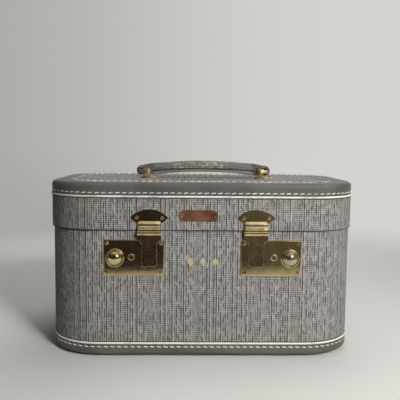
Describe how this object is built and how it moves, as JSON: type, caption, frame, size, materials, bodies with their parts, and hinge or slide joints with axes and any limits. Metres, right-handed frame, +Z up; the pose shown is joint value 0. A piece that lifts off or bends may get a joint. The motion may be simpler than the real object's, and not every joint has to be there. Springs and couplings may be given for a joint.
{
  "type": "cosmetic train case",
  "caption": "Small hard travel case with rounded corners, an overhanging hinged lid, slide-bolt latches, a low top handle, folding lid stays, a lid mirror and a lift-out tray.",
  "frame": {"origin": "on the floor, under the middle of the closed case's plan box", "axes": "+Z up, front with the latches faces -Y, +X to the right seen from the front"},
  "size_m": [0.356, 0.2308, 0.2181],
  "materials": {
    "ply": "birch ply, unvarnished",
    "tweed": "coated tweed cloth, light warm grey with dark slubs",
    "binding": "smooth grey coated binding, satin",
    "piping": "ivory piping",
    "lining": "satin-weave lining",
    "brass": "polished, aged lacquer",
    "brass_rivets": "polished",
    "brass_inner": "plated, dull",
    "steel": "bright zinc",
    "mirror": "silvered glass",
    "copper": "antique copper, worn",
    "padding": "felt",
    "tray": "cloth-covered board",
    "tab_leather": "grey leather"
  },
  "bodies": {
    "case_body": {"body_frame": "ply", "base_panel": "ply", "base_cover": "binding", "body_cover": "tweed", "bottom_binding": "binding", "bottom_piping": "piping", "base_feet": "steel", "body_lining": "lining", "rim_lip": "lining", "tray_ledges": "ply", "hinge_leaves_lower": "brass_inner", "hinge_pins": "steel", "body_rivets": "brass_rivets", "lock_plates": "brass", "lock_cases": "steel", "lock_rivets": "brass_rivets", "bolt_spring_left": "steel", "bolt_spring_right": "steel", "stay_posts_body": "brass_inner"},
    "lid": {"lid_frame": "ply", "lid_top_panel": "ply", "lid_cover_side": "tweed", "lid_cover_top": "tweed", "top_binding": "binding", "top_piping": "piping", "lid_lining": "lining", "mirror_glass": "mirror", "mirror_frame": "brass_inner", "mirror_screws": "brass_rivets", "hinge_leaves_upper": "brass_inner", "lid_rivets": "brass_rivets", "hasp_mounts": "brass", "front_rivets": "brass_rivets", "hasp_pins": "brass", "name_plate": "copper", "handle_saddles": "brass", "stay_posts_lid": "brass_inner"},
    "hasp_left": {"hasp_left": "brass"},
    "hasp_right": {"hasp_right": "brass"},
    "knob_left": {"knob_left": "brass", "bolt_left": "steel"},
    "knob_right": {"knob_right": "brass", "bolt_right": "steel"},
    "key_left": {"key_plug_left": "brass"},
    "key_right": {"key_plug_right": "brass"},
    "handle": {"handle_cover": "tweed", "handle_band": "binding", "handle_pad": "padding", "handle_core": "steel", "handle_loops": "tweed"},
    "link_left": {"link_left": "brass"},
    "link_right": {"link_right": "brass"},
    "stay_lower_left": {"stay_lower_left": "brass_inner"},
    "stay_lower_right": {"stay_lower_right": "brass_inner"},
    "stay_upper_left": {"stay_upper_left": "brass_inner"},
    "stay_upper_right": {"stay_upper_right": "brass_inner"},
    "tray": {"tray_shell": "tray", "tray_dividers": "tray", "tray_pulls": "tab_leather"}
  },
  "joints": [
    {"name": "lid_hinge", "type": "hinge", "parent": "case_body", "child": "lid", "pos_m": [0, 0.11257, 0.1438], "axis": [-1, 0, 0], "range_deg": [0, 100]},
    {"name": "hasp_swing_left", "type": "hinge", "parent": "lid", "child": "hasp_left", "pos_m": [-0.059, -0.11127, 0.1412], "axis": [-1, 0, 0], "range_deg": [0, 115]},
    {"name": "knob_slide_left", "type": "slide", "parent": "case_body", "child": "knob_left", "axis": [-1, 0, 0], "range_m": [0, 0.005], "stiffness_N_per_m": 250, "springref_m": -0.004, "deforming": ["bolt_spring_left"]},
    {"name": "key_turn_left", "type": "hinge", "parent": "case_body", "child": "key_left", "pos_m": [-0.079, -0.1084, 0.1141], "axis": [0, -1, 0], "range_deg": [0, 90]},
    {"name": "link_swing_left", "type": "hinge", "parent": "lid", "child": "link_left", "pos_m": [-0.067, 0.00063, 0.1993], "axis": [0, 1, 0], "range_deg": [0, 55]},
    {"name": "stay_lower_swing_left", "type": "hinge", "parent": "case_body", "child": "stay_lower_left", "pos_m": [-0.16405, 0.03658, 0.0938], "axis": [-1, 0, 0], "range_deg": [0, 100]},
    {"name": "stay_upper_swing_left", "type": "hinge", "parent": "lid", "child": "stay_upper_left", "pos_m": [-0.16585, 0.03658, 0.1588], "axis": [-1, 0, 0], "range_deg": [-100, 0]},
    {"name": "hasp_swing_right", "type": "hinge", "parent": "lid", "child": "hasp_right", "pos_m": [0.059, -0.11127, 0.1412], "axis": [-1, 0, 0], "range_deg": [0, 115]},
    {"name": "knob_slide_right", "type": "slide", "parent": "case_body", "child": "knob_right", "axis": [1, 0, 0], "range_m": [0, 0.005], "stiffness_N_per_m": 250, "springref_m": -0.004, "deforming": ["bolt_spring_right"]},
    {"name": "key_turn_right", "type": "hinge", "parent": "case_body", "child": "key_right", "pos_m": [0.079, -0.1084, 0.1141], "axis": [0, 1, 0], "range_deg": [0, 90]},
    {"name": "link_swing_right", "type": "hinge", "parent": "lid", "child": "link_right", "pos_m": [0.072, 0.00063, 0.1993], "axis": [0, -1, 0], "range_deg": [0, 55]},
    {"name": "stay_lower_swing_right", "type": "hinge", "parent": "case_body", "child": "stay_lower_right", "pos_m": [0.16405, 0.03658, 0.0938], "axis": [-1, 0, 0], "range_deg": [0, 100]},
    {"name": "stay_upper_swing_right", "type": "hinge", "parent": "lid", "child": "stay_upper_right", "pos_m": [0.16585, 0.03658, 0.1588], "axis": [-1, 0, 0], "range_deg": [-100, 0]},
    {"name": "handle_lift", "type": "slide", "parent": "lid", "child": "handle", "axis": [0, 0, 1], "range_m": [0, 0.00533]},
    {"name": "tray_lift", "type": "slide", "parent": "case_body", "child": "tray", "axis": [0, 0, 1], "range_m": [0, 0.025]}
  ],
  "couplings": [
    {"joint": "link_swing_left", "follows": "handle_lift", "rad_per_m": 163.7},
    {"joint": "stay_lower_swing_left", "follows": "lid_hinge", "ratio": 1},
    {"joint": "stay_upper_swing_left", "follows": "lid_hinge", "ratio": -1},
    {"joint": "link_swing_right", "follows": "handle_lift", "rad_per_m": 163.7},
    {"joint": "stay_lower_swing_right", "follows": "lid_hinge", "ratio": 1},
    {"joint": "stay_upper_swing_right", "follows": "lid_hinge", "ratio": -1}
  ]
}
